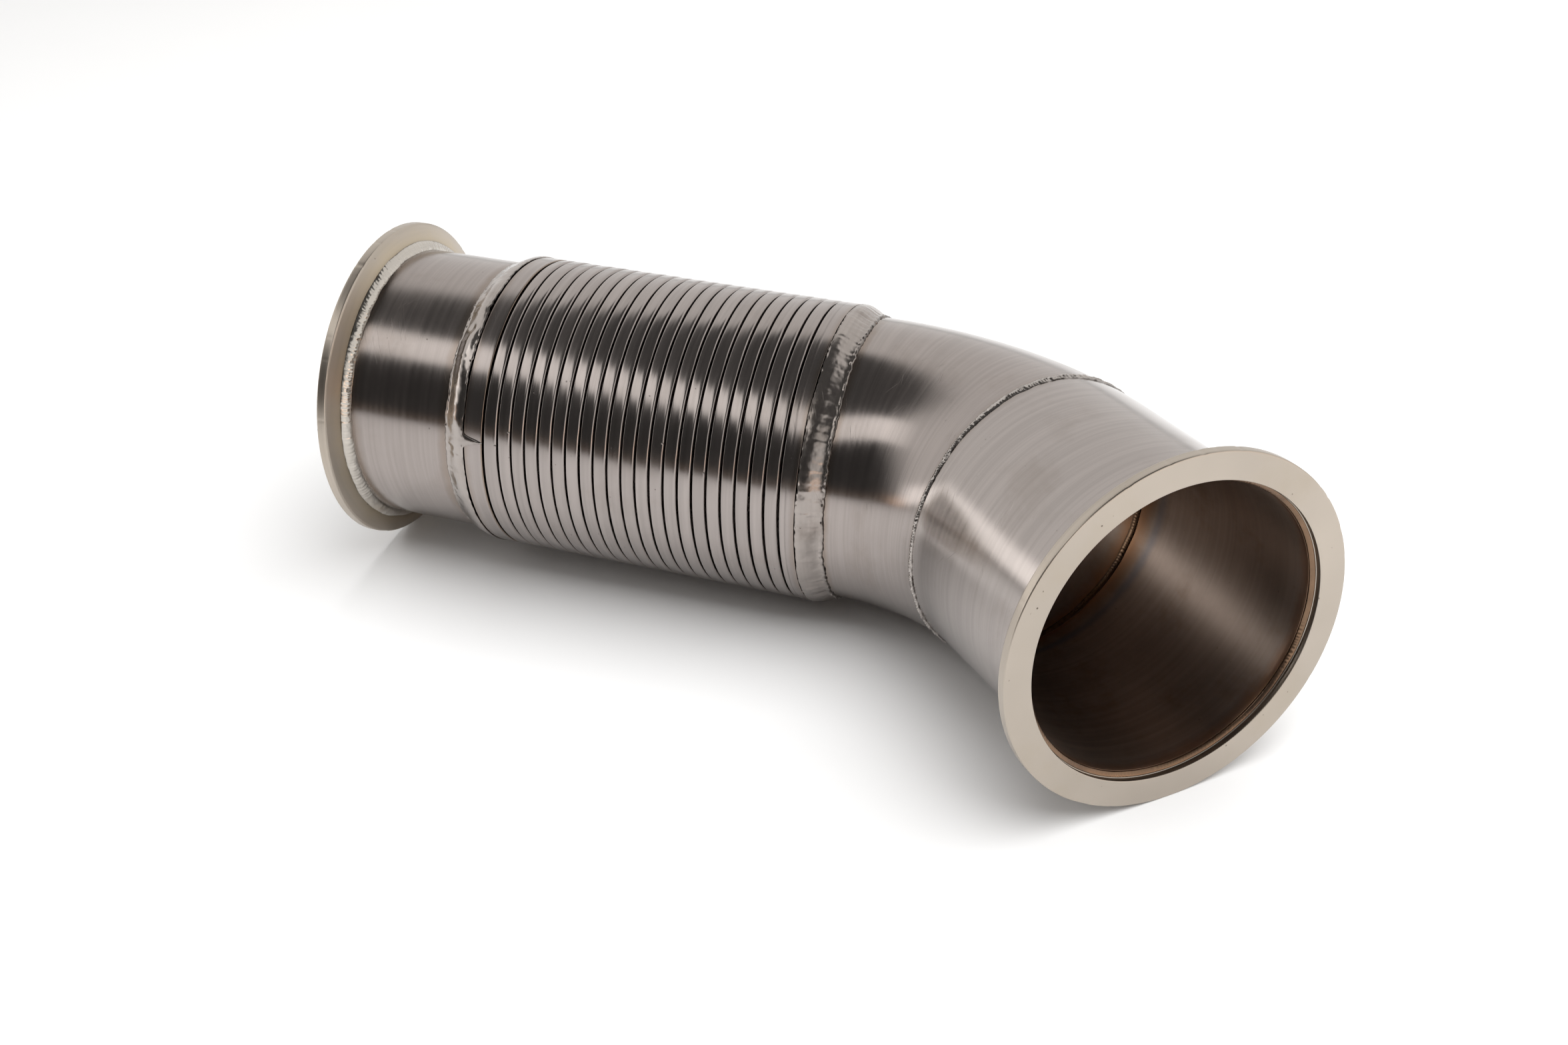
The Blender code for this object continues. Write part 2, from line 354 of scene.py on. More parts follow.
class Finish:
    """What sets one steel surface apart from another."""

    def __init__(self, colour, roughness, **more):
        self.colour = colour
        self.roughness = roughness
        self.grain = more.get("grain", 1.0)
        self.stain = more.get("stain", 0.18)
        self.stain_colour = more.get("stain_colour", (0.19, 0.15, 0.12))
        self.scratches = more.get("scratches", 0.5)
        self.pits = more.get("pits", 0.3)
        self.tints = more.get("tints", ())
        # Near-black colour for the mesh's dark marks: real stains at weld toes, heat and joint lines, and
        # painted shade on the hose's groove walls.
        self.mark_colour = more.get("mark_colour", (0.035, 0.028, 0.024))
        self.anisotropy = more.get("anisotropy", 0.45)


PIT_COLOUR = (0.06, 0.045, 0.035)
DARK_STREAK, LIGHT_STREAK = 0.93, 1.06


def heat_tinted(graph, colour, station, patch, tints):
    """Heat tints in rings round the pipe with wandering edges, each (station, width, colour, strength)."""
    for place_at, width, tint, strength in tints:
        away = graph.maths("ABSOLUTE", graph.maths("SUBTRACT", station, place_at))
        wandering = graph.maths("MULTIPLY_ADD", graph.maths("SUBTRACT", patch, 0.5), width * 0.8, away)
        near = graph.soft_step(wandering, 0.0, width, strength, 0.0)
        colour = graph.mix(near, colour, rgba(tint))
    return colour


def scratch_lines(graph, cloud, strength):
    """Handling scratches that slant both ways, in patches."""
    unrolled = graph.node("ShaderNodeUVMap", uv_map="grain").outputs[0]

    def slanting(degrees, stretch, low, high):
        turn = (0.0, 0.0, math.radians(degrees))
        turned = graph.node("ShaderNodeMapping", {0: unrolled, 2: turn}).outputs[0]
        line = graph.noise(graph.stretched(turned, stretch), 1.0, 2.0, 0.5)
        return graph.soft_step(line, low, high)

    rising = slanting(24, (1500.0, 22.0, 1.0), 0.66, 0.72)
    falling = slanting(-38, (1100.0, 30.0, 1.0), 0.69, 0.74)
    scratch = graph.maths("MAXIMUM", rising, falling)
    scratch = graph.maths("MULTIPLY", scratch, graph.soft_step(cloud, 0.42, 0.62))
    return graph.maths("MULTIPLY", scratch, strength)


def pit_dots(graph, pipe, patch, strength):
    """Small dark pits, in clusters."""
    cells = graph.node("ShaderNodeTexVoronoi", {"Vector": pipe, "Scale": 210.0, "Randomness": 1.0})
    dot = graph.soft_step(cells.outputs["Distance"], 0.07, 0.13, 1.0, 0.0)
    chosen = graph.soft_step(patch, 0.58, 0.64)
    return graph.maths("MULTIPLY", graph.maths("MULTIPLY", dot, chosen), strength)


def steel(name, finish):
    """Brushed steel: fine grain round the pipe, cloudy stains, scratches, pits, heat tints, and dark marks
    from the mesh: real stains at weld toes, heat and joint lines, and painted shade on the hose's groove
    walls.
    """
    graph = Graph(name)
    pipe = graph.attribute("pipe", "Vector")
    station = graph.node("ShaderNodeSeparateXYZ", {0: pipe}).outputs[0]
    fine = graph.noise(graph.stretched(pipe, (2600.0, 60.0, 60.0)), 1.0, 3.0, 0.6)
    streak = graph.noise(graph.stretched(pipe, (420.0, 9.0, 9.0)), 1.0, 3.0, 0.6)
    cloud = graph.noise(pipe, 26.0, 5.0, 0.62)
    patch = graph.noise(pipe, 95.0, 4.0, 0.6)
    scratch = scratch_lines(graph, cloud, finish.scratches)
    pit = pit_dots(graph, pipe, patch, finish.pits)
    # Dark marks from the mesh: real weld toe, heat and joint line stains, and painted shade on the hose's
    # groove walls.
    stain_and_shade = graph.attribute("stain_and_shade", "Fac")
    patchy_stain_and_shade = graph.maths("MULTIPLY", stain_and_shade, graph.soft_step(patch, 0.25, 0.6, 0.35, 1.0))

    darker = rgba([channel * DARK_STREAK for channel in finish.colour])
    lighter = rgba([min(1.0, channel * LIGHT_STREAK) for channel in finish.colour])
    colour = graph.mix(graph.soft_step(streak, 0.3, 0.7), darker, lighter)
    stain = graph.maths("MULTIPLY", graph.soft_step(cloud, 0.5, 0.72), finish.stain)
    colour = graph.mix(stain, colour, rgba(finish.stain_colour))
    colour = heat_tinted(graph, colour, station, patch, finish.tints)
    colour = graph.mix(pit, colour, rgba(PIT_COLOUR))
    colour = graph.mix(patchy_stain_and_shade, colour, rgba(finish.mark_colour))

    roughness = graph.maths("MULTIPLY_ADD", graph.maths("SUBTRACT", streak, 0.5), 0.10, finish.roughness)
    roughness = graph.maths("MULTIPLY_ADD", graph.maths("SUBTRACT", cloud, 0.5), 0.12, roughness)
    roughness = graph.maths("MULTIPLY_ADD", pit, 0.3, roughness)
    roughness = graph.maths("MULTIPLY_ADD", patchy_stain_and_shade, 0.22, roughness)

    height = graph.maths("MULTIPLY", fine, finish.grain)
    height = graph.maths("SUBTRACT", height, graph.maths("MULTIPLY", scratch, 2.0))
    height = graph.maths("SUBTRACT", height, graph.maths("MULTIPLY", pit, 4.0))
    bump = graph.node("ShaderNodeBump", {"Height": height, "Strength": 0.5, "Distance": 0.000018})

    tangent = graph.node("ShaderNodeTangent", direction_type="UV_MAP", uv_map="grain")
    shader = graph.shader
    links = graph.tree.links
    links.new(colour, shader.inputs["Base Color"])
    links.new(roughness, shader.inputs["Roughness"])
    links.new(bump.outputs[0], shader.inputs["Normal"])
    links.new(tangent.outputs[0], shader.inputs["Tangent"])
    shader.inputs["Metallic"].default_value = 1.0
    shader.inputs["Anisotropic"].default_value = finish.anisotropy
    return graph.material


TUBE_COLOUR = (0.345, 0.308, 0.290)
HOSE_COLOUR = (0.350, 0.314, 0.298)
FLANGE_COLOUR = (0.465, 0.412, 0.355)
OUTLET_COLOUR = (0.37, 0.335, 0.317)
FILLET_COLOUR = (0.52, 0.485, 0.44)
INLET_LAP_COLOUR = (0.405, 0.368, 0.345)
OUTLET_LAP_COLOUR = (0.365, 0.328, 0.305)
SEAM_COLOUR = (0.44, 0.405, 0.38)
SEAM_ROOT_COLOUR = (0.19, 0.12, 0.075)
INNER_FILLET_COLOUR = (0.26, 0.165, 0.105)
BROWN = (0.20, 0.135, 0.085)
COPPER = (0.34, 0.17, 0.085)
BLUE_GREY = (0.16, 0.17, 0.20)
INNER_COLOUR = (0.37, 0.295, 0.25)

INLET_WELD = reach("inlet_collar_weld")
OUTLET_WELD = reach("outlet_collar_weld")

INNER_FINISH = Finish(
    INNER_COLOUR, 0.38, grain=0.5, stain=0.5, stain_colour=(0.24, 0.155, 0.10), scratches=0.2,
    tints=(
        (SEAM, 0.016, BROWN, 0.75),
        (SEAM, 0.009, COPPER, 0.8),
        (SEAM + 0.010, 0.0035, BLUE_GREY, 0.5),
        (PIPE_LENGTH - TUBE_RECESS, 0.008, COPPER, 0.6),
        (TUBE_RECESS, 0.008, COPPER, 0.6),
    ),
)
INNER_STEEL = steel("pipe_inside_steel", INNER_FINISH)


def two_steels(name, finish):
    """The finish for a piece's outside, and the brown heat-stained steel for its inside."""
    return (steel(name, finish), INNER_STEEL)


# ---------------------------------------------------------------- flanges


def turned_back(flipped, station):
    """Station along the whole pipe of a place this far behind a flange's face."""
    return PIPE_LENGTH - station if flipped else station


def flange_outline(flipped):
    """Face, rounded rim, clamp cone with small steps, and the bore with a machined lip."""
    corners = [
        (0.0, FLANGE_BORE, 0.0004),
        (0.0, FLANGE_RADIUS, 0.0007),
        (FLANGE_RIM - 0.0004, FLANGE_RADIUS, 0.0006),
        (FLANGE_RIM + 0.0002, FLANGE_RADIUS - 0.0011, 0.0005),
        (FLANGE_LENGTH - 0.0006, FLANGE_HUB_RADIUS + 0.0010, 0.0010),
        (FLANGE_LENGTH, FLANGE_HUB_RADIUS, 0.0004),
        (FLANGE_LENGTH, FLANGE_BORE, 0.0003),
        (0.0034, FLANGE_BORE, 0.0001),
        (0.0032, FLANGE_BORE + 0.0003, 0.0001),
        (0.0022, FLANGE_BORE + 0.0003, 0.0001),
        (0.0020, FLANGE_BORE, 0.0001),
    ]
    outline = finer(rounded(corners), 0.0012)
    return [(turned_back(flipped, station), radius) for station, radius in outline]


def flange(prefix, body, flipped):
    face = turned_back(flipped, 0.0)
    cone = turned_back(flipped, FLANGE_LENGTH)

    def turning(station, radius, azimuth):
        """Turned steel: almost true, with a few dings on the rim's edges."""
        edge = smooth(radius, FLANGE_RADIUS - 0.0008, FLANGE_RADIUS)
        ding = np.maximum(0, rough(azimuth, station * 0, 0.0035, 3) - 0.55) * edge
        wander = 0.00004 * rough(azimuth, station, 0.03, 4)
        behind = np.abs(station - face)
        heat = 0.25 * hump(behind, FLANGE_LENGTH, 0.0008)
        return station, radius - 0.0006 * ding + wander, heat

    finish = Finish(
        FLANGE_COLOUR, 0.34, grain=1.3, stain=0.32, stain_colour=(0.42, 0.36, 0.28), pits=0.7,
        anisotropy=0.2,
        tints=((cone, 0.0042, (0.50, 0.41, 0.27), 0.55), (cone, 0.0012, BROWN, 0.35)),
    )
    name = prefix + "_vband_flange"
    mesh = swept(name, flange_outline(flipped), turning, 720, slots=(steel(name + "_steel", finish),))
    add(name, mesh, body)


# ---------------------------------------------------------------- welds


def weld_outline(across):
    """A weld's outline in shares: (0..1 across, 1) over its face, then (1..0, 0) along its root."""
    shares = [share / across for share in range(across + 1)]
    return [(share, 1.0) for share in shares] + [(share, 0.0) for share in reversed(shares)]


def ripples(azimuth, across, pitch, seed):
    """Crescent ripples of a weld pool that moved round the pipe, from 0 to 1."""
    flat = across * 0
    jitter = 0.55 * rough(azimuth, flat, 0.006, seed) + 0.3 * rough(azimuth, flat, 0.0025, seed + 1)
    bow = 1.5 * (2 * across - 1) ** 2
    phase = azimuth * round(math.tau * TUBE_RADIUS / pitch) + math.tau * (jitter + bow * 0.35)
    return 0.5 + 0.5 * np.cos(phase)


def fillet_weld(prefix, body, flipped):
    """Rippled fillet bead between the flange's cone and the tube."""
    seed = 40 if flipped else 30
    top = (FLANGE_LENGTH - 0.0005, FLANGE_HUB_RADIUS + 0.0013)
    foot = (FLANGE_LENGTH + 0.0034, TUBE_RADIUS - 0.0001)
    lean = Vector((top[1] - foot[1], foot[0] - top[0])).normalized()

    def bead(share, layer, azimuth):
        flat = share * 0
        toe_in = 0.00022 * rough(azimuth, flat, 0.004, seed)
        toe_in = toe_in + 0.00012 * rough(azimuth, flat, 0.0014, seed + 1)
        spread = share + (share - 0.5) * 0.12 * rough(azimuth, flat, 0.011, seed + 2)
        full = 4 * share * (1 - share)
        height = 0.00055 * full + 0.00016 * ripples(azimuth, share, 0.0021, seed + 3) * np.sqrt(full)
        height = height + 0.00012 * rough(azimuth, share * 0.006, 0.0018, seed + 5) * full
        station = top[0] + (foot[0] - top[0]) * spread + lean.x * height + toe_in
        radius = top[1] + (foot[1] - top[1]) * spread + lean.y * height
        root = 1 - layer
        station = station - root * (station - top[0] + 0.0004) * 0.4
        radius = radius - root * (radius - TUBE_RADIUS + 0.0003)
        toe = smooth(np.abs(share - 0.5), 0.42, 0.5) * layer
        return turned_back(flipped, station), radius, toe * 0.55

    finish = Finish(
        FILLET_COLOUR, 0.17, grain=0.2, stain=0.35, stain_colour=(0.30, 0.22, 0.13),
        scratches=0.1, pits=0.2, anisotropy=0.0,
    )
    name = prefix + "_flange_weld"
    mesh = swept(name, weld_outline(14), bead, WELD_SEGMENTS, slots=(steel(name + "_steel", finish),))
    add(name, mesh, body)


def inner_fillet(prefix, body, flipped):
    """Small brown weld on the tube's recessed end, inside the flange's bore."""
    end = TUBE_RECESS - 0.0001
    outline = [
        (end, TUBE_RADIUS - TUBE_WALL),
        (end - 0.0007, TUBE_RADIUS - TUBE_WALL + 0.0001),
        (end - 0.0014, TUBE_RADIUS - 0.0011),
        (end - 0.0019, TUBE_RADIUS - 0.0003),
        (end - 0.0020, TUBE_RADIUS + 0.0001),
        (end, TUBE_RADIUS + 0.0001),
    ]
    outline = finer(outline, 0.0005)
    seed = 62 if flipped else 52

    def bead(station, radius, azimuth):
        proud = smooth(end - station, 0.0002, 0.0008)
        wave = ripples(azimuth, station * 0 + 0.5, 0.0017, seed) - 0.5
        low = rough(azimuth, station * 0, 0.012, seed + 3)
        return station - proud * (0.00012 * wave + 0.00015 * low), radius, 0.25 * proud

    finish = Finish(
        INNER_FILLET_COLOUR, 0.24, grain=0.2, stain=0.6, stain_colour=(0.10, 0.07, 0.055),
        scratches=0.0, anisotropy=0.0,
    )
    outline = [(turned_back(flipped, station), radius) for station, radius in outline]

    def placed(station, radius, azimuth):
        if not flipped:
            return bead(station, radius, azimuth)
        inward, radius, stain_and_shade = bead(PIPE_LENGTH - station, radius, azimuth)
        return PIPE_LENGTH - inward, radius, stain_and_shade

    name = prefix + "_flange_inner_weld"
    mesh = swept(name, outline, placed, WELD_SEGMENTS, slots=(steel(name + "_steel", finish),))
    add(name, mesh, body)


# Places round the inlet lap weld: where its toes are rough, the molten lump with its crater, and
# the run of weld over the collar with its vein
ROUGH_FRONT = math.radians(35)
ROUGH_BACK = math.radians(265)
MELT_AZIMUTH = math.radians(50)
CRATER_AZIMUTH = MELT_AZIMUTH - math.radians(9)
RUN_AZIMUTH = math.radians(84)
VEIN_AZIMUTH = RUN_AZIMUTH + math.radians(6)


def angular(azimuth, middle, width):
    """A hump of this width, in metres round the hose, at one azimuth."""
    away = (azimuth - middle + math.pi) % math.tau - math.pi
    return np.exp(-((away * HOSE_RADIUS / width) ** 2))


def toe_line(azimuth, flat, seed, size):
    """A weld toe's wandering line: slow drift, scallops and small teeth."""
    drift = 0.55 * rough(azimuth, flat, 0.013, seed)
    scallop = 0.75 * np.abs(rough(azimuth, flat, 0.0042, seed + 1))
    teeth = 0.35 * rough(azimuth, flat, 0.0015, seed + 2)
    return size * (drift + scallop + teeth)


def inlet_lap_weld():
    """Smooth poured weld from the inlet tube up to the hose's closed collar.

    A molten lump sits on its front, and below it a run of weld steps over the collar."""
    left, right = INLET_WELD[0] + 0.0006, INLET_WELD[1]
    collar_edge = FIRST_TURN - COLLAR_GAP
    ramp_share = 0.80
    top = HOSE_RADIUS + 0.00025

    def bead(share, layer, azimuth):
        flat = share * 0
        run = angular(azimuth, RUN_AZIMUTH, 0.0022)
        front = angular(azimuth, ROUGH_FRONT, 0.062)
        back = angular(azimuth, ROUGH_BACK, 0.06)
        lively = 0.35 + 0.65 * np.maximum(front, back)
        start = left + toe_line(azimuth, flat, 70, 0.0007)
        crest = right - 0.0006 - toe_line(azimuth, flat, 75, 0.0008) * lively
        edge = crest + 0.0005 + (collar_edge - 0.0002 - crest) * run
        climb = np.clip(share / ramp_share, 0, 1)
        over = np.clip((share - ramp_share) / (1 - ramp_share), 0, 1)
        station = start + (crest - start) * climb + (edge - crest) * over
        rise = 1 - (1 - smooth(climb, -0.15, 1.0)) ** 1.25
        radius = TUBE_RADIUS + 0.00015 + (top - TUBE_RADIUS) * rise
        full = 4 * climb * (1 - climb)
        melt = angular(azimuth, MELT_AZIMUTH, 0.0115) * hump(climb, 0.55, 0.33)
        crater = angular(azimuth, CRATER_AZIMUTH, 0.0028) * hump(climb, 0.5, 0.16)
        radius = radius + 0.00095 * melt - 0.0006 * crater
        radius = radius + full * 0.00045 * rough(azimuth, station, 0.0085, 80)
        radius = radius + full * 0.00012 * rough(azimuth, station, 0.0032, 81) * (1 - 0.7 * melt)
        rim = np.maximum(hump(share, 0.05, 0.035), hump(share, ramp_share, 0.045) * lively)
        lumps = np.maximum(0, rough(azimuth, station, 0.0017, 82)) ** 1.5
        radius = radius + rim * (0.00012 + 0.00050 * lumps)
        beyond = smooth(share, ramp_share, ramp_share + 0.04) * (1 - smooth(share, 0.96, 1.0))
        radius = radius + beyond * run * (0.00045 + 0.00025 * rough(azimuth, station, 0.0026, 83))
        vein = angular(azimuth, VEIN_AZIMUTH, 0.0009) * hump(climb, 0.72, 0.16)
        radius = radius - 0.00035 * vein
        radius = radius - smooth(np.abs(share - 0.5), 0.49, 0.5) * 0.0005
        root = 1 - layer
        under = np.where(station < INLET_COLLAR[0] - 0.0003, TUBE_RADIUS - 0.0006, HOSE_RADIUS - 0.0006)
        radius = radius * layer + under * root
        toe = np.maximum(hump(share, 0.0, 0.05), hump(share, 0.92, 0.13) * lively) * layer
        return station, radius, np.clip(toe * (0.6 + 0.5 * rough(azimuth, station, 0.002, 84)), 0, 1)

    finish = Finish(
        INLET_LAP_COLOUR, 0.15, grain=0.15, stain=0.4, stain_colour=(0.17, 0.13, 0.10),
        scratches=0.1, pits=0.2, anisotropy=0.0,
    )
    name = "inlet_collar_weld"
    mesh = swept(name, weld_outline(48), bead, WELD_SEGMENTS, slots=(steel(name + "_steel", finish),))
    add(name, mesh, "inlet_end")


def outlet_lap_weld():
    """Weld from the hose's last collar down to the elbow, dressed with a grinder between two rough toes."""
    left, right = OUTLET_WELD[0], OUTLET_WELD[1] - 0.0004

    def bead(share, layer, azimuth):
        flat = share * 0
        start = left + 0.0004 - toe_line(azimuth, flat, 90, 0.0006)
        end = right + toe_line(azimuth, flat, 95, 0.0008)
        station = start + (end - start) * share
        fall = smooth(share, 0.05, 1.02)
        radius = HOSE_RADIUS + 0.0002 - (HOSE_RADIUS - TUBE_RADIUS - 0.00035) * fall ** 1.2
        full = np.clip(4 * share * (1 - share), 0, 1)
        radius = radius + full * 0.00030 * rough(azimuth, station, 0.0075, 100)
        radius = radius + full * 0.00011 * rough(azimuth, station, 0.0026, 101)
        radius = radius + full * 0.00004 * rough(azimuth, station, 0.0011, 102)
        left_rim = hump(share, 0.035, 0.03) * (0.4 + 0.6 * np.maximum(0, rough(azimuth, flat, 0.012, 103)))
        right_rim = hump(share, 0.93, 0.055)
        lumps = np.maximum(0, rough(azimuth, station, 0.0019, 104) + 0.25) ** 1.4
        radius = radius + left_rim * (0.0001 + 0.00045 * lumps) + right_rim * (0.00022 + 0.00060 * lumps)
        radius = radius - smooth(np.abs(share - 0.5), 0.488, 0.5) * 0.0005
        under = np.where(station < OUTLET_COLLAR[1], HOSE_RADIUS - 0.0006, TUBE_RADIUS - 0.0006)
        radius = radius * layer + under * (1 - layer)
        toe = np.maximum(hump(share, 0.0, 0.03), hump(share, 1.0, 0.05)) * layer
        return station, radius, np.clip(toe * (0.7 + 0.5 * rough(azimuth, station, 0.002, 105)), 0, 1)

    finish = Finish(
        OUTLET_LAP_COLOUR, 0.22, grain=0.6, stain=0.6, stain_colour=(0.15, 0.12, 0.10),
        scratches=1.6, pits=0.5, anisotropy=0.1,
    )
    name = "outlet_collar_weld"
    mesh = swept(name, weld_outline(48), bead, WELD_SEGMENTS, slots=(steel(name + "_steel", finish),))
    add(name, mesh, "outlet_end")


def seam_weld():
    """Narrow bead round the elbow, with its root bead on the inside."""
    half = 0.0026
    crown = 0.0011
    root_half = 0.0018
    neck_half = 0.002
    shares = [step / 12 for step in range(13)]
    outline = [(share * 2 - 1, 1.0) for share in shares]
    outline += [(0.04, 0.5), *[(1 - share * 2, 0.0) for share in shares], (-0.04, 0.5)]

    def bead(share, layer, azimuth):
        flat = share * 0
        outer = (layer > 0.75).astype(float)
        inner = (layer < 0.25).astype(float)
        drift = 0.0007 * rough(azimuth, flat, 0.045, 110) + 0.00035 * rough(azimuth, flat, 0.009, 111)
        width = 1 + 0.16 * rough(azimuth, flat, 0.006, 112) + 0.10 * rough(azimuth, flat, 0.0022, 113)
        neck = 1 - outer - inner
        reach_out = outer * half * width + inner * root_half + neck * neck_half
        station = SEAM + drift + share * reach_out
        full = 1 - share ** 2
        wave = ripples(azimuth, (share + 1) / 2, 0.0016, 114)
        dent = rough(azimuth, station, 0.0024, 116)
        fine_dent = rough(azimuth, station, 0.0012, 117)
        height = full * (crown * (0.70 + 0.42 * wave) + 0.00034 * dent + 0.00012 * fine_dent)
        outer_radius = TUBE_RADIUS - 0.0001 + height
        inner_radius = TUBE_RADIUS - TUBE_WALL + 0.0001 - 0.0006 * full * (0.8 + 0.2 * wave)
        middle = TUBE_RADIUS - TUBE_WALL / 2
        radius = outer * outer_radius + inner * inner_radius + neck * middle
        toe = smooth(np.abs(share), 0.62, 0.92) * outer
        speckle = 0.5 * outer * np.maximum(0, fine_dent)
        return station, radius, np.clip(toe * (0.75 + 0.55 * dent) + speckle, 0, 1)

    finish = Finish(
        SEAM_COLOUR, 0.24, grain=0.2, stain=0.3, stain_colour=(0.16, 0.12, 0.10),
        scratches=0.1, anisotropy=0.0,
    )
    inside = Finish(
        SEAM_ROOT_COLOUR, 0.26, grain=0.2, stain=0.5, stain_colour=(0.10, 0.09, 0.10),
        scratches=0.0, anisotropy=0.0,
    )
    name = "elbow_seam_weld"
    slots = (steel(name + "_steel", finish), steel(name + "_root_steel", inside))
    mesh = swept(name, outline, bead, WELD_SEGMENTS, inside=TUBE_RADIUS - TUBE_WALL / 2, slots=slots)
    add(name, mesh, "outlet_end")


# ---------------------------------------------------------------- tubes and hose


def tube(name, body, start, end, finish, seed):
    """A plain tube along the centreline, a little uneven as rolled and bent tube is."""
    corners = [
        (start, TUBE_RADIUS, 0.0002),
        (end, TUBE_RADIUS, 0.0002),
        (end, TUBE_RADIUS - TUBE_WALL, 0.0002),
        (start, TUBE_RADIUS - TUBE_WALL, 0.0002),
    ]
    outline = finer(rounded(corners, 2), 0.0025)

    def rolled(station, radius, azimuth):
        wave = 0.00007 * rough(azimuth, station, 0.055, seed)
        wave = wave + 0.00002 * rough(azimuth, station, 0.02, seed + 1)
        return station, radius + wave, station * 0

    slots = two_steels(name + "_steel", finish)
    mesh = swept(name, outline, rolled, SEGMENTS, inside=TUBE_RADIUS - TUBE_WALL / 2, slots=slots)
    add(name, mesh, body)


INLET_COLLAR = reach("inlet_hose_collar")


def tubes():
    inlet_end = reach("inlet_stub_tube")[1]
    inlet = Finish(
        TUBE_COLOUR, 0.19, grain=0.8, stain=0.2, scratches=0.5, pits=0.3,
        tints=((FLANGE_LENGTH + 0.003, 0.007, BROWN, 0.30), (INLET_WELD[0], 0.005, BROWN, 0.35)),
    )
    tube("inlet_stub_tube", "inlet_end", TUBE_RECESS, inlet_end, inlet, 120)
    elbow = Finish(
        TUBE_COLOUR, 0.17, grain=1.4, stain=0.22, scratches=1.0, pits=0.2,
        tints=((OUTLET_WELD[1], 0.006, BROWN, 0.4), (SEAM, 0.006, BROWN, 0.3)),
    )
    tube("elbow_bend", "outlet_end", reach("elbow_bend")[0], SEAM - GAP / 2, elbow, 124)
    outlet = Finish(
        OUTLET_COLOUR, 0.15, grain=0.45, stain=0.2, scratches=0.8, pits=0.3,
        tints=((PIPE_LENGTH - FLANGE_LENGTH - 0.003, 0.006, BROWN, 0.3), (SEAM, 0.006, BROWN, 0.3)),
    )
    tube("outlet_tube", "outlet_end", SEAM + GAP / 2, PIPE_LENGTH - TUBE_RECESS, outlet, 128)


def hook_corners(left, right):
    """The right end of a strip turn: rolled edge, inner leg and upturned hook."""
    leg = HOSE_BORE_RADIUS + STRIP
    hook = left + UP_HOOK_START
    return [
        (right, HOSE_RADIUS, ROLL_RADIUS),
        (right, leg, 0.0004),
        (hook, leg, 0.0003),
        (hook, leg + UP_HOOK_HEIGHT, 0.0002),
        (hook + STRIP, leg + UP_HOOK_HEIGHT, 0.0002),
        (hook + STRIP, HOSE_BORE_RADIUS, 0.0004),
    ]


def down_hook_corners(start):
    """The left end of a strip turn: the hook that runs behind its neighbour's."""
    under = HOSE_RADIUS - STRIP
    return [
        (start + STRIP, under, 0.0002),
        (start + STRIP, under - DOWN_HOOK_DEPTH, 0.0002),
        (start, under - DOWN_HOOK_DEPTH, 0.0002),
        (start, HOSE_RADIUS, 0.0004),
    ]


def hose_finish(seed):
    """Each turn of strip differs a little from the next."""
    shade = 1 + 0.03 * math.sin(seed * 2.4)
    return Finish(
        [channel * shade for channel in HOSE_COLOUR], 0.185 + 0.015 * math.sin(seed * 1.7),
        grain=1.0, stain=0.16, scratches=0.35, pits=0.45,
    )


# Turns that carry a bead of weld spatter, and its azimuth in degrees
NIBS = {0: 84.0, 1: 78.0, 12: 72.0, 15: 80.0}
NIB_RADIUS = 0.0006
NIB_SHAPE = (1.15, 0.9, 0.9, 1.0)


def hose_turn(number, node):
    """One helical turn of strip, from the hose's lower back round to the same place one pitch on."""
    start = FIRST_TURN + number * PITCH
    web = start + TURN_WIDTH - STRIP
    corners = hook_corners(start, start + TURN_WIDTH)
    corners += [(web, HOSE_BORE_RADIUS, 0.0003), (web, HOSE_RADIUS - STRIP, 0.0003)]
    corners += down_hook_corners(start)
    outline = finer(rounded(corners), 0.0009)
    first = number == 0

    def wound(station, radius, azimuth):
        local = station - start
        lead = PITCH * from_middle(azimuth) / math.tau
        # The two ends of a turn lie where from_middle jumps, so their leads are set outright.
        lead = np.where(from_middle(azimuth) >= math.pi - 1e-4, PITCH / 2, lead)
        lead = np.where(np.arange(azimuth.shape[1])[None, :] == 0, -PITCH / 2, lead)
        follows = np.clip((local - 0.0010) / (TURN_WIDTH - 0.0023), 0, 1) if first else 1.0
        outer = smooth(radius, HOSE_RADIUS - 0.0003, HOSE_RADIUS - 0.0001)
        crown = BAND_CROWN * np.sin(np.clip(local / TURN_WIDTH, 0, 1) * math.pi) * outer
        ridge = 0.00006 * hump(local, TURN_WIDTH - 0.0017, 0.0006) * outer
        flat = station * 0
        flutter = 0.00009 * rough(azimuth, flat, 0.03, 200 + number)
        uneven = 0.00003 * rough(azimuth, flat, 0.012, 240 + number)
        near_edge = smooth(local, TURN_WIDTH - 0.003, TURN_WIDTH)
        edge = near_edge * 0.00008 * rough(azimuth, flat, 0.008, 280 + number)
        # The wall at the turn's outlet edge, down into the groove, is painted dark: painted shade in the gap
        # between turns.
        groove_shade = smooth(local, TURN_WIDTH - 0.0007, TURN_WIDTH) * smooth(HOSE_RADIUS - radius, 0.0003, 0.0015)
        gap = groove_shade * (1 - smooth(local, TURN_WIDTH + 0.0005, TURN_WIDTH + 0.002))
        return station + lead * follows + edge, radius + crown + ridge + flutter + uneven, 0.75 * gap

    slots = two_steels(node + "_steel", hose_finish(number))
    cut = (HELIX_MIDDLE - math.pi, GAP / HOSE_RADIUS)
    mesh = swept(node, outline, wound, SEGMENTS, cut, inside=HOSE_BORE_RADIUS + 0.0003, slots=slots)
    if number in NIBS:
        add_nib(mesh, start + TURN_WIDTH - 0.0008, math.radians(NIBS[number]))
    add(node, mesh, "turn" + node[-3:])


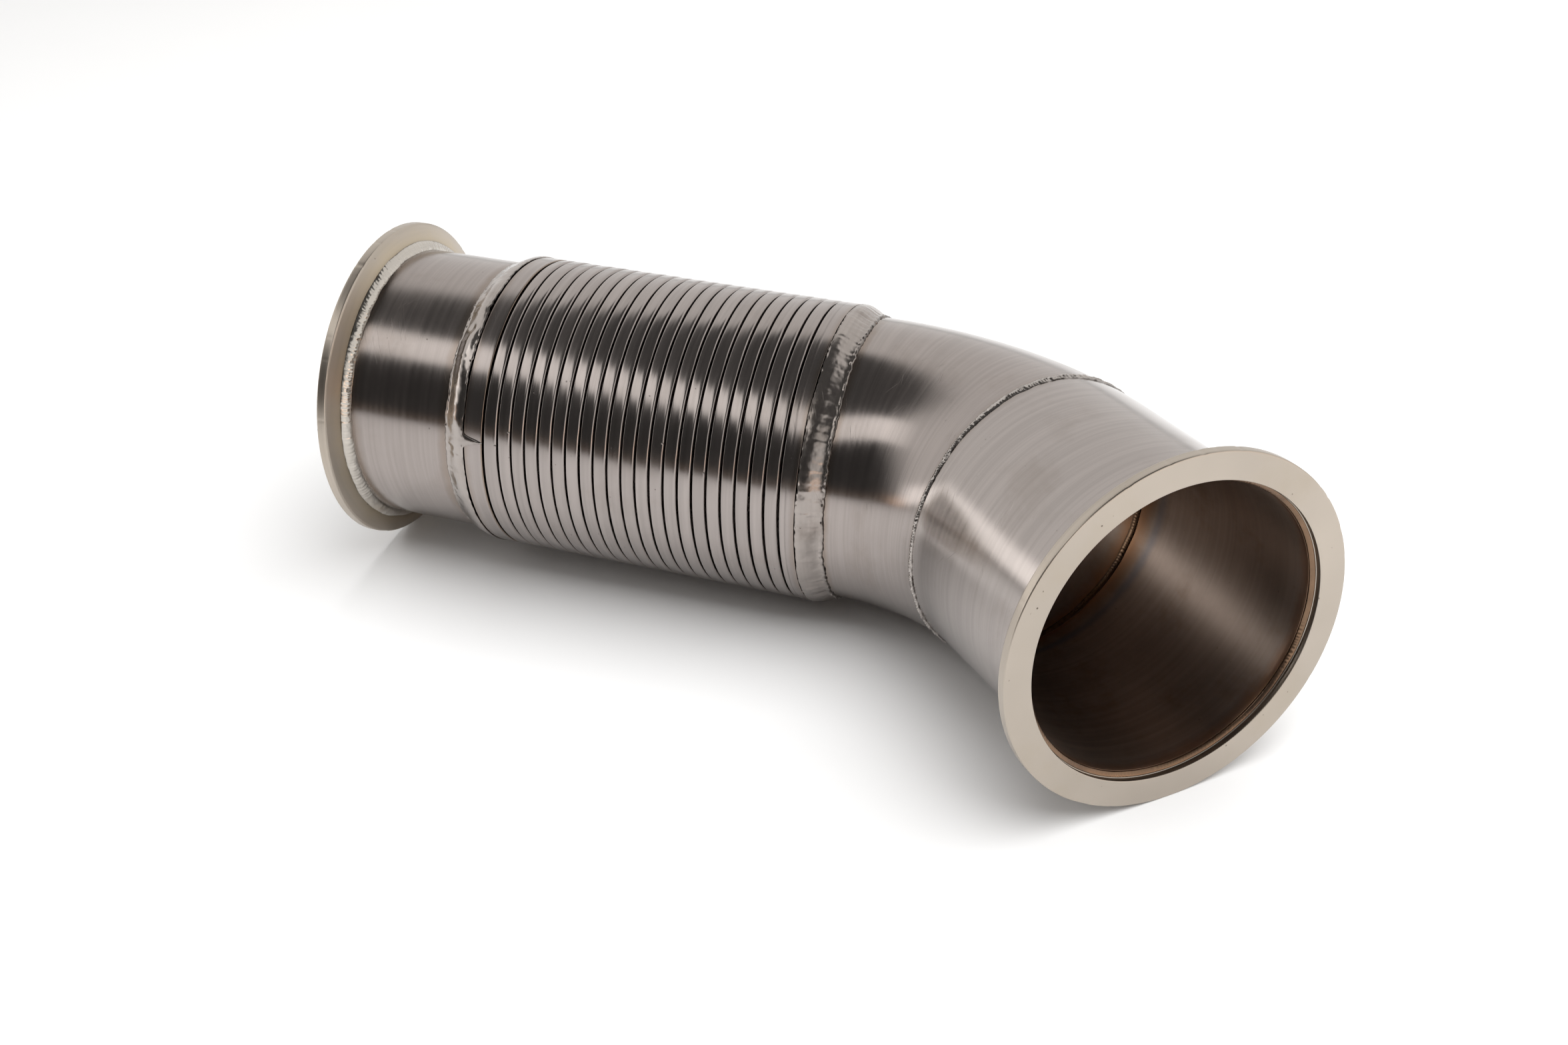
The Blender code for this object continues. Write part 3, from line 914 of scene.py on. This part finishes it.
def add_nib(mesh, station, azimuth):
    """A small weld spatter bead on the band's rolled edge."""
    where = np.array([station + PITCH * (azimuth - HELIX_MIDDLE) / math.tau])
    centre = place(where, np.array([HOSE_RADIUS - 0.0001]), np.array([azimuth]))[0]
    bm = bmesh.new()
    bm.from_mesh(mesh)
    made = bmesh.ops.create_icosphere(bm, subdivisions=3, radius=NIB_RADIUS)
    squash = Matrix.Diagonal(NIB_SHAPE)
    bmesh.ops.transform(bm, matrix=Matrix.Translation(Vector(centre)) @ squash, verts=made["verts"])
    for face in {face for vertex in made["verts"] for face in vertex.link_faces}:
        face.smooth = True
    bm.to_mesh(mesh)
    bm.free()


def inlet_collar():
    """The hose's closed first band, flat and square-edged.

    Its hook runs out where the first turn is still narrow, so that the two stay clear as the hose moves."""
    edge = FIRST_TURN - COLLAR_GAP
    left = FIRST_TURN - PITCH
    leg = HOSE_BORE_RADIUS + STRIP
    early = 0.0024 / HOSE_RADIUS
    corners = hook_corners(left, edge)
    corners[0] = (edge, HOSE_RADIUS, 0.0006)
    corners += [(INLET_COLLAR[0], HOSE_BORE_RADIUS, 0.0003), (INLET_COLLAR[0], HOSE_RADIUS, 0.0003)]
    outline = finer(rounded(corners), 0.0009)

    def pressed(station, radius, azimuth):
        flat = station * 0
        waver = 0.00012 * rough(azimuth, flat, 0.04, 300)
        waver = waver + 0.00005 * rough(azimuth, station, 0.012, 301)
        # The collar's wall at the groove by the first turn is painted dark: painted shade in that gap.
        groove_shade = smooth(station, edge - 0.0005, edge) * smooth(HOSE_RADIUS - radius, 0.0002, 0.0012)
        groove_shade = groove_shade * (1 - smooth(station, edge + 0.0006, edge + 0.002))
        shift = 0.00012 * rough(azimuth, flat, 0.03, 302) * smooth(station, edge - 0.002, edge)
        narrowing = -PITCH * from_middle(azimuth + early) / math.tau
        soon_narrow = -PITCH * from_middle(azimuth + 2 * early) / math.tau
        lowered = smooth(soon_narrow, 0.0007, 0.0013) * np.maximum(0, radius - leg)
        lowered = lowered * smooth(station, edge + 0.0006, edge + 0.0012)
        drawn_in = 0.6 * smooth(narrowing, 0.0011, 0.0022) * np.maximum(0, station - edge)
        return station + shift - drawn_in, radius + waver - 0.9 * lowered, 0.9 * groove_shade

    finish = Finish(HOSE_COLOUR, 0.20, grain=0.9, stain=0.2, scratches=0.4, pits=0.3,
                    tints=((INLET_WELD[1], 0.004, BROWN, 0.3), (edge, 0.0012, BROWN, 0.7)))
    name = "inlet_hose_collar"
    slots = two_steels(name + "_steel", finish)
    mesh = swept(name, outline, pressed, 480, inside=HOSE_BORE_RADIUS + 0.0003, slots=slots)
    add(name, mesh, "inlet_end")


def outlet_collar():
    """The hose's closed last band: its free edge follows the helix.

    A faint line shows the strip's end."""
    start, end = OUTLET_COLLAR
    block = reach("elbow_bend")[0] - GAP
    corners = [
        (end, HOSE_RADIUS, 0.0003),
        (end, HOSE_BORE_RADIUS, 0.0003),
        (block, HOSE_BORE_RADIUS, 0.0003),
        (block, HOSE_RADIUS - STRIP, 0.0002),
    ]
    outline = finer(rounded(corners + down_hook_corners(start)), 0.0005)
    squeeze = block - start - STRIP
    step_back = math.radians(1.0)

    def wound(station, radius, azimuth):
        around = from_middle(azimuth)
        lead = PITCH * around / math.tau
        step = 1 - smooth(around, -math.pi, -math.pi + step_back)
        lead = lead + PITCH * step
        hold = 1 - np.clip((station - start - STRIP) / squeeze, 0, 1)
        waver = 0.00008 * rough(azimuth, station, 0.03, 310)
        placed = station + lead * hold
        outer = smooth(radius, HOSE_RADIUS - 0.0003, HOSE_RADIUS - 0.0001)
        line = hump(placed, start + 0.0035 + 0.4 * lead, 0.00022) * outer
        return placed, radius + waver - 0.00018 * line, 0.5 * line

    finish = Finish(HOSE_COLOUR, 0.20, grain=1.0, stain=0.25, scratches=0.5, pits=0.6,
                    tints=((OUTLET_WELD[0], 0.004, BROWN, 0.35),))
    name = "outlet_hose_collar"
    slots = two_steels(name + "_steel", finish)
    mesh = swept(name, outline, wound, 720, inside=HOSE_BORE_RADIUS + 0.0003, slots=slots)
    add(name, mesh, "outlet_end")


# ---------------------------------------------------------------- floor, light and camera


FLOOR_REACH = 9.0
FLOOR_DARKER, FLOOR_LIGHTER = (0.80, 0.80, 0.80), (0.83, 0.83, 0.83)


def floor():
    mesh = bpy.data.meshes.new("floor")
    corners = [(FLOOR_REACH * x, FLOOR_REACH * y, 0) for x, y in ((-1, -1), (1, -1), (1, 1), (-1, 1))]
    mesh.from_pydata(corners, [], [(0, 1, 2, 3)])
    graph = Graph("floor_paint")
    place_on = graph.node("ShaderNodeTexCoord").outputs["Object"]
    cloud = graph.noise(place_on, 3.0, 3.0)
    colour = graph.mix(cloud, rgba(FLOOR_DARKER), rgba(FLOOR_LIGHTER))
    graph.tree.links.new(colour, graph.shader.inputs["Base Color"])
    graph.shader.inputs["Roughness"].default_value = 0.9
    graph.shader.inputs["Specular IOR Level"].default_value = 0.1
    mesh.materials.append(graph.material)
    plane = bpy.data.objects.new("floor", mesh)
    bpy.context.scene.collection.objects.link(plane)


CAMERA_PLACE = Vector((0.232, -0.675, 0.543))
CAMERA_FORWARD = Vector((-0.2840, 0.7818, -0.5554))
CAMERA_RIGHT = Vector((0.9473, 0.3174, -0.0363))
CAMERA_LENS = 37.53


def camera():
    data = bpy.data.cameras.new("camera")
    data.lens = CAMERA_LENS
    data.sensor_width = 36.0
    data.clip_start = 0.01
    forward = CAMERA_FORWARD.normalized()
    up = CAMERA_RIGHT.cross(forward).normalized()
    right = forward.cross(up)
    made = bpy.data.objects.new("camera", data)
    made.matrix_world = Matrix.Translation(CAMERA_PLACE) @ Matrix((right, up, -forward)).transposed().to_4x4()
    bpy.context.scene.collection.objects.link(made)
    bpy.context.scene.camera = made


class Sky(Graph):
    """The world's node tree, with steps for light that depends on direction alone."""

    def __init__(self):
        self.world = bpy.data.worlds.new("studio")
        bpy.context.scene.world = self.world
        self.world.use_nodes = True
        self.tree = self.world.node_tree
        self.tree.nodes.clear()
        direction = self.node("ShaderNodeTexCoord").outputs["Generated"]
        self.direction = self.node("ShaderNodeVectorMath", {0: direction}, operation="NORMALIZE").outputs[0]

    def towards(self, vector):
        inputs = {0: self.direction, 1: tuple(vector)}
        return self.node("ShaderNodeVectorMath", inputs, operation="DOT_PRODUCT").outputs["Value"]

    def band(self, value, low, soft_low, soft_high, high):
        rise = self.soft_step(value, low, soft_low)
        fall = self.soft_step(value, soft_high, high, 1.0, 0.0)
        return self.maths("MULTIPLY", rise, fall)


KEY_DIRECTION = Vector((-0.36, -0.50, 0.79)).normalized()
KEY_STRENGTH = 1.5
STRIP_STRENGTH = 1.1
WALL_STRENGTH = 1.0
RIGHT_STRENGTH = 1.1
DARK_STRENGTH = 0.055
CEILING_STRENGTH = 0.10
BACKGROUND = 0.90
BACK_DIRECTION = Vector((-0.34, 0.94, 0))
COOL_TINT = (1.0, 0.985, 0.965)
WARM_TINT = (2.6, 1.9, 1.45)


def key_light(sky):
    """A long soft box, high in front of the hose."""
    across = Vector((-KEY_DIRECTION.y, KEY_DIRECTION.x, 0)).normalized()
    wide = sky.band(sky.towards(across), -0.52, -0.2, 0.34, 0.52)
    tall = sky.band(sky.towards(KEY_DIRECTION.cross(across)), -0.20, -0.12, 0.10, 0.17)
    facing = sky.soft_step(sky.towards(KEY_DIRECTION), 0.3, 0.5)
    key = sky.maths("MULTIPLY", sky.maths("MULTIPLY", wide, tall), facing)
    return sky.maths("MULTIPLY", key, KEY_STRENGTH)


def low_strip(sky, height):
    """A low strip of light on the left, which the outlet tube mirrors."""
    on_left = sky.soft_step(sky.towards((-1, 0.12, 0)), 0.84, 0.93)
    strip = sky.maths("MULTIPLY", on_left, sky.band(height, 0.0, 0.06, 0.15, 0.26))
    return sky.maths("MULTIPLY", strip, STRIP_STRENGTH)


def walls(sky, height, back):
    """Pale walls behind and on the right, under a dark ceiling."""
    under_ceiling = sky.soft_step(height, 0.78, 0.87, 1.0, 0.0)
    behind = sky.maths("MULTIPLY", under_ceiling, sky.soft_step(back, -0.35, 0.1))
    on_right = sky.soft_step(sky.towards((1, 0, 0)), 0.35, 0.8)
    right = sky.maths("MULTIPLY", on_right, sky.soft_step(height, 0.5, 0.7, 1.0, 0.0))
    behind = sky.maths("MULTIPLY", behind, WALL_STRENGTH)
    right = sky.maths("MULTIPLY", right, RIGHT_STRENGTH)
    dark = sky.soft_step(height, 0.5, 0.9, DARK_STRENGTH, CEILING_STRENGTH)
    return sky.maths("MAXIMUM", sky.maths("MAXIMUM", behind, right), dark)


def warmth(sky, height, back):
    """1 low down in front, where the dark side of the room is warm, and 0 elsewhere."""
    low = sky.soft_step(height, 0.0, 0.14, 1.0, 0.0)
    return sky.maths("MULTIPLY", low, sky.soft_step(back, -0.2, 0.1, 1.0, 0.0))


def studio():
    """The studio as the steel mirrors it. The camera itself sees a plain pale background."""
    sky = Sky()
    height = sky.towards((0, 0, 1))
    back = sky.towards(BACK_DIRECTION)
    lights = sky.maths("ADD", key_light(sky), low_strip(sky, height))
    level = sky.maths("ADD", walls(sky, height, back), lights)
    tint = sky.mix(warmth(sky, height, back), rgba(COOL_TINT), rgba(WARM_TINT))
    studio_light = sky.node("ShaderNodeBackground", {"Color": tint, "Strength": level})
    plain = sky.node("ShaderNodeBackground", {"Color": rgba((1, 1, 1)), "Strength": BACKGROUND})
    seen = sky.node("ShaderNodeLightPath").outputs["Is Camera Ray"]
    both = sky.node("ShaderNodeMixShader", {0: seen, 1: studio_light.outputs[0], 2: plain.outputs[0]})
    output = sky.node("ShaderNodeOutputWorld")
    sky.tree.links.new(both.outputs[0], output.inputs[0])


FLOOR_LIGHT_SIZE = 3.8
FLOOR_LIGHT_PLACE = (1.2, -0.3, 3.4)
FLOOR_LIGHT_POWER = 178.0


def floor_light():
    """Broad overhead light for the floor alone: the steel doesn't mirror it."""
    data = bpy.data.lights.new("floor_light", "AREA")
    data.shape = "SQUARE"
    data.size = FLOOR_LIGHT_SIZE
    data.energy = FLOOR_LIGHT_POWER
    light = bpy.data.objects.new("floor_light", data)
    light.location = FLOOR_LIGHT_PLACE
    light.visible_glossy = False
    light.visible_camera = False
    bpy.context.scene.collection.objects.link(light)


# ---------------------------------------------------------------- the whole joint

for prefix, body, flipped in (("inlet", "inlet_end", False), ("outlet", "outlet_end", True)):
    flange(prefix, body, flipped)
    fillet_weld(prefix, body, flipped)
    inner_fillet(prefix, body, flipped)
tubes()
inlet_collar()
inlet_lap_weld()
for number, node in enumerate(TURNS):
    hose_turn(number, node)
outlet_collar()
outlet_lap_weld()
seam_weld()

floor()
camera()
studio()
floor_light()
bpy.context.scene.view_settings.view_transform = "Standard"
